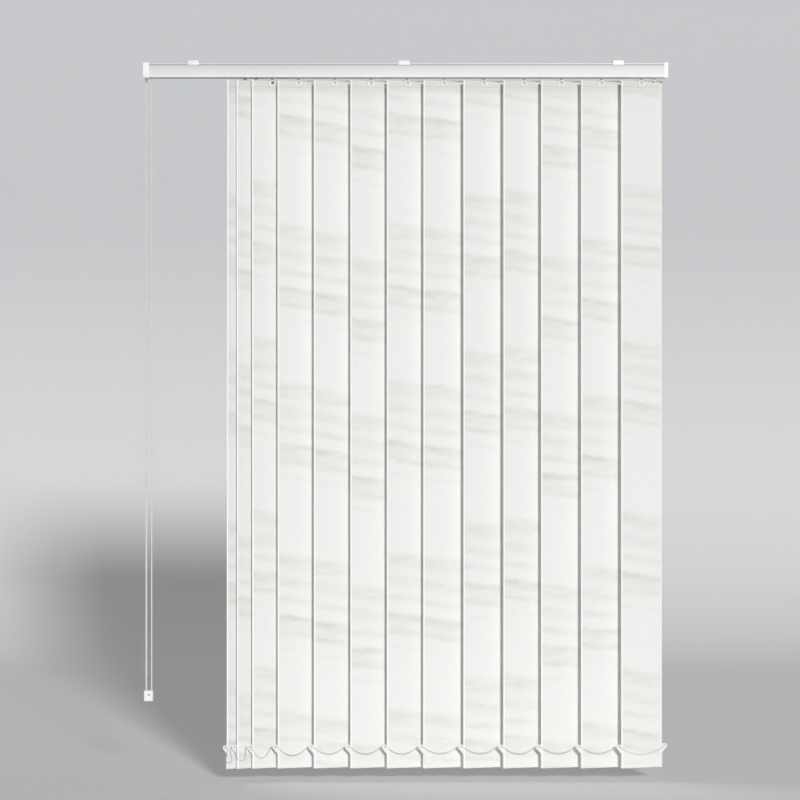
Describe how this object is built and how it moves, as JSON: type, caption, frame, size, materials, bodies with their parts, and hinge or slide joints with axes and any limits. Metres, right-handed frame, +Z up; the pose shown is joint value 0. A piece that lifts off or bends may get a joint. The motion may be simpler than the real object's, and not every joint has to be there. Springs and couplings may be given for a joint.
{
  "type": "vertical blind",
  "caption": "Vertical blind with a top-fixed aluminium headrail, fabric louvres on linked rolling trucks, chain tilt, cord draw, weights and bottom chains.",
  "frame": {"origin": "on the soffit over the middle of the headrail's length and depth, where the middle bracket's plate lies", "axes": "+Z up, +X to the right along the rail seen from the room, -Y towards the room"},
  "size_m": [1.0489, 0.0715, 1.4125],
  "materials": {
    "rail": "satin white powder coat on extruded aluminium",
    "bracket": "white coated spring steel",
    "cap": "moulded white plastic",
    "steel": "plain steel",
    "bead_chain": "white plastic beads on a cord",
    "cord": "white braided polyester cord",
    "bottom_chain": "white plastic beads on a thread",
    "rod": "drawn aluminium",
    "mechanism": "moulded white acetal",
    "truck": "moulded white acetal",
    "fitting": "moulded white plastic",
    "louvre_fabric": "off-white woven polyester with a soft horizontal streak"
  },
  "bodies": {
    "root": {"headrail": "rail", "bracket_left": "bracket", "bracket_middle": "bracket", "bracket_right": "bracket", "control_end_cap": "cap", "control_cap_cover": "cap", "idle_end_cap": "cap", "pulley_pins": "steel", "tilt_chain": "bead_chain", "draw_cord_loop": "cord", "draw_cord_run": "cord", "cord_tidy": "cap", "front_chain": "bottom_chain", "back_chain": "bottom_chain", "truck_13": "truck"},
    "tilt_drive": {"tilt_rod": "rod", "chain_wheel": "mechanism"},
    "front_pulley": {"cord_pulley_front": "mechanism"},
    "rear_pulley": {"cord_pulley_rear": "mechanism"},
    "far_pulley": {"return_pulley": "mechanism"},
    "carriage_01": {"truck_01": "truck", "cord_clamp": "mechanism"},
    "carriage_02": {"truck_02": "truck"},
    "carriage_03": {"truck_03": "truck"},
    "carriage_04": {"truck_04": "truck"},
    "carriage_05": {"truck_05": "truck"},
    "carriage_06": {"truck_06": "truck"},
    "carriage_07": {"truck_07": "truck"},
    "carriage_08": {"truck_08": "truck"},
    "carriage_09": {"truck_09": "truck"},
    "carriage_10": {"truck_10": "truck"},
    "carriage_11": {"truck_11": "truck"},
    "carriage_12": {"truck_12": "truck"},
    "vane_01": {"fittings_01": "fitting", "louvre_01": "louvre_fabric"},
    "vane_02": {"fittings_02": "fitting", "louvre_02": "louvre_fabric"},
    "vane_03": {"fittings_03": "fitting", "louvre_03": "louvre_fabric"},
    "vane_04": {"fittings_04": "fitting", "louvre_04": "louvre_fabric"},
    "vane_05": {"fittings_05": "fitting", "louvre_05": "louvre_fabric"},
    "vane_06": {"fittings_06": "fitting", "louvre_06": "louvre_fabric"},
    "vane_07": {"fittings_07": "fitting", "louvre_07": "louvre_fabric"},
    "vane_08": {"fittings_08": "fitting", "louvre_08": "louvre_fabric"},
    "vane_09": {"fittings_09": "fitting", "louvre_09": "louvre_fabric"},
    "vane_10": {"fittings_10": "fitting", "louvre_10": "louvre_fabric"},
    "vane_11": {"fittings_11": "fitting", "louvre_11": "louvre_fabric"},
    "vane_12": {"fittings_12": "fitting", "louvre_12": "louvre_fabric"},
    "vane_13": {"fittings_13": "fitting", "louvre_13": "louvre_fabric"}
  },
  "joints": [
    {"name": "tilt_rod_spin", "type": "hinge", "parent": "root", "child": "tilt_drive", "pos_m": [0, 0.0088, -0.0205], "axis": [1, 0, 0], "range_deg": [0, 1680], "deforming": ["front_chain", "back_chain"]},
    {"name": "front_pulley_spin", "type": "hinge", "parent": "root", "child": "front_pulley", "pos_m": [-0.506, -0.0065, -0.0122], "axis": [0, 1, 0], "continuous": true},
    {"name": "rear_pulley_spin", "type": "hinge", "parent": "root", "child": "rear_pulley", "pos_m": [-0.506, 0.0044, -0.0122], "axis": [0, 1, 0], "continuous": true},
    {"name": "far_pulley_spin", "type": "hinge", "parent": "root", "child": "far_pulley", "pos_m": [0.503, -0.00105, -0.0082], "axis": [0, 0, 1], "continuous": true},
    {"name": "carriage_12_slide", "type": "slide", "parent": "root", "child": "carriage_12", "axis": [1, 0, 0], "range_m": [0, 0.0602]},
    {"name": "carriage_11_slide", "type": "slide", "parent": "carriage_12", "child": "carriage_11", "axis": [1, 0, 0], "range_m": [-0.0004, 0.0598]},
    {"name": "carriage_10_slide", "type": "slide", "parent": "carriage_11", "child": "carriage_10", "axis": [1, 0, 0], "range_m": [-0.0048, 0.0554]},
    {"name": "carriage_09_slide", "type": "slide", "parent": "carriage_10", "child": "carriage_09", "axis": [1, 0, 0], "range_m": [-0.0004, 0.0598]},
    {"name": "carriage_08_slide", "type": "slide", "parent": "carriage_09", "child": "carriage_08", "axis": [1, 0, 0], "range_m": [-0.0006, 0.0596]},
    {"name": "carriage_07_slide", "type": "slide", "parent": "carriage_08", "child": "carriage_07", "axis": [1, 0, 0], "range_m": [-0.0072, 0.053]},
    {"name": "carriage_06_slide", "type": "slide", "parent": "carriage_07", "child": "carriage_06", "axis": [1, 0, 0], "range_m": [-0.0074, 0.0528]},
    {"name": "carriage_05_slide", "type": "slide", "parent": "carriage_06", "child": "carriage_05", "axis": [1, 0, 0], "range_m": [-0.0072, 0.053]},
    {"name": "carriage_04_slide", "type": "slide", "parent": "carriage_05", "child": "carriage_04", "axis": [1, 0, 0], "range_m": [-0.0078, 0.0524]},
    {"name": "carriage_03_slide", "type": "slide", "parent": "carriage_04", "child": "carriage_03", "axis": [1, 0, 0], "range_m": [-0.0282, 0.032]},
    {"name": "carriage_02_slide", "type": "slide", "parent": "carriage_03", "child": "carriage_02", "axis": [1, 0, 0], "range_m": [-0.0476, 0.0126]},
    {"name": "carriage_01_slide", "type": "slide", "parent": "carriage_02", "child": "carriage_01", "axis": [1, 0, 0], "range_m": [-0.0584, 0.0018]},
    {"name": "louvre_01_turn", "type": "hinge", "parent": "carriage_01", "child": "vane_01", "pos_m": [-0.3226, 0, -0.0205], "axis": [0, 0, 1], "range_deg": [0, 122]},
    {"name": "louvre_02_turn", "type": "hinge", "parent": "carriage_02", "child": "vane_02", "pos_m": [-0.3008, 0, -0.0205], "axis": [0, 0, 1], "range_deg": [0, 130.5]},
    {"name": "louvre_03_turn", "type": "hinge", "parent": "carriage_03", "child": "vane_03", "pos_m": [-0.2682, 0, -0.0205], "axis": [0, 0, 1], "range_deg": [0, 137]},
    {"name": "louvre_04_turn", "type": "hinge", "parent": "carriage_04", "child": "vane_04", "pos_m": [-0.2162, 0, -0.0205], "axis": [0, 0, 1], "range_deg": [0, 140]},
    {"name": "louvre_05_turn", "type": "hinge", "parent": "carriage_05", "child": "vane_05", "pos_m": [-0.1438, 0, -0.0205], "axis": [0, 0, 1], "range_deg": [0, 140]},
    {"name": "louvre_06_turn", "type": "hinge", "parent": "carriage_06", "child": "vane_06", "pos_m": [-0.0708, 0, -0.0205], "axis": [0, 0, 1], "range_deg": [0, 140]},
    {"name": "louvre_07_turn", "type": "hinge", "parent": "carriage_07", "child": "vane_07", "pos_m": [0.002, 0, -0.0205], "axis": [0, 0, 1], "range_deg": [0, 140]},
    {"name": "louvre_08_turn", "type": "hinge", "parent": "carriage_08", "child": "vane_08", "pos_m": [0.075, 0, -0.0205], "axis": [0, 0, 1], "range_deg": [0, 140]},
    {"name": "louvre_09_turn", "type": "hinge", "parent": "carriage_09", "child": "vane_09", "pos_m": [0.1546, 0, -0.0205], "axis": [0, 0, 1], "range_deg": [0, 140]},
    {"name": "louvre_10_turn", "type": "hinge", "parent": "carriage_10", "child": "vane_10", "pos_m": [0.2344, 0, -0.0205], "axis": [0, 0, 1], "range_deg": [0, 140]},
    {"name": "louvre_11_turn", "type": "hinge", "parent": "carriage_11", "child": "vane_11", "pos_m": [0.3098, 0, -0.0205], "axis": [0, 0, 1], "range_deg": [0, 140]},
    {"name": "louvre_12_turn", "type": "hinge", "parent": "carriage_12", "child": "vane_12", "pos_m": [0.3896, 0, -0.0205], "axis": [0, 0, 1], "range_deg": [0, 140]},
    {"name": "louvre_13_turn", "type": "hinge", "parent": "root", "child": "vane_13", "pos_m": [0.4698, 0, -0.0205], "axis": [0, 0, 1], "range_deg": [0, 140]}
  ],
  "couplings": [
    {"joint": "louvre_01_turn", "follows": "tilt_rod_spin", "ratio": 0.072619},
    {"joint": "louvre_02_turn", "follows": "tilt_rod_spin", "ratio": 0.077679},
    {"joint": "louvre_03_turn", "follows": "tilt_rod_spin", "ratio": 0.081548},
    {"joint": "louvre_04_turn", "follows": "tilt_rod_spin", "ratio": 0.083333},
    {"joint": "louvre_05_turn", "follows": "tilt_rod_spin", "ratio": 0.083333},
    {"joint": "louvre_06_turn", "follows": "tilt_rod_spin", "ratio": 0.083333},
    {"joint": "louvre_07_turn", "follows": "tilt_rod_spin", "ratio": 0.083333},
    {"joint": "louvre_08_turn", "follows": "tilt_rod_spin", "ratio": 0.083333},
    {"joint": "louvre_09_turn", "follows": "tilt_rod_spin", "ratio": 0.083333},
    {"joint": "louvre_10_turn", "follows": "tilt_rod_spin", "ratio": 0.083333},
    {"joint": "louvre_11_turn", "follows": "tilt_rod_spin", "ratio": 0.083333},
    {"joint": "louvre_12_turn", "follows": "tilt_rod_spin", "ratio": 0.083333},
    {"joint": "louvre_13_turn", "follows": "tilt_rod_spin", "ratio": 0.083333}
  ]
}
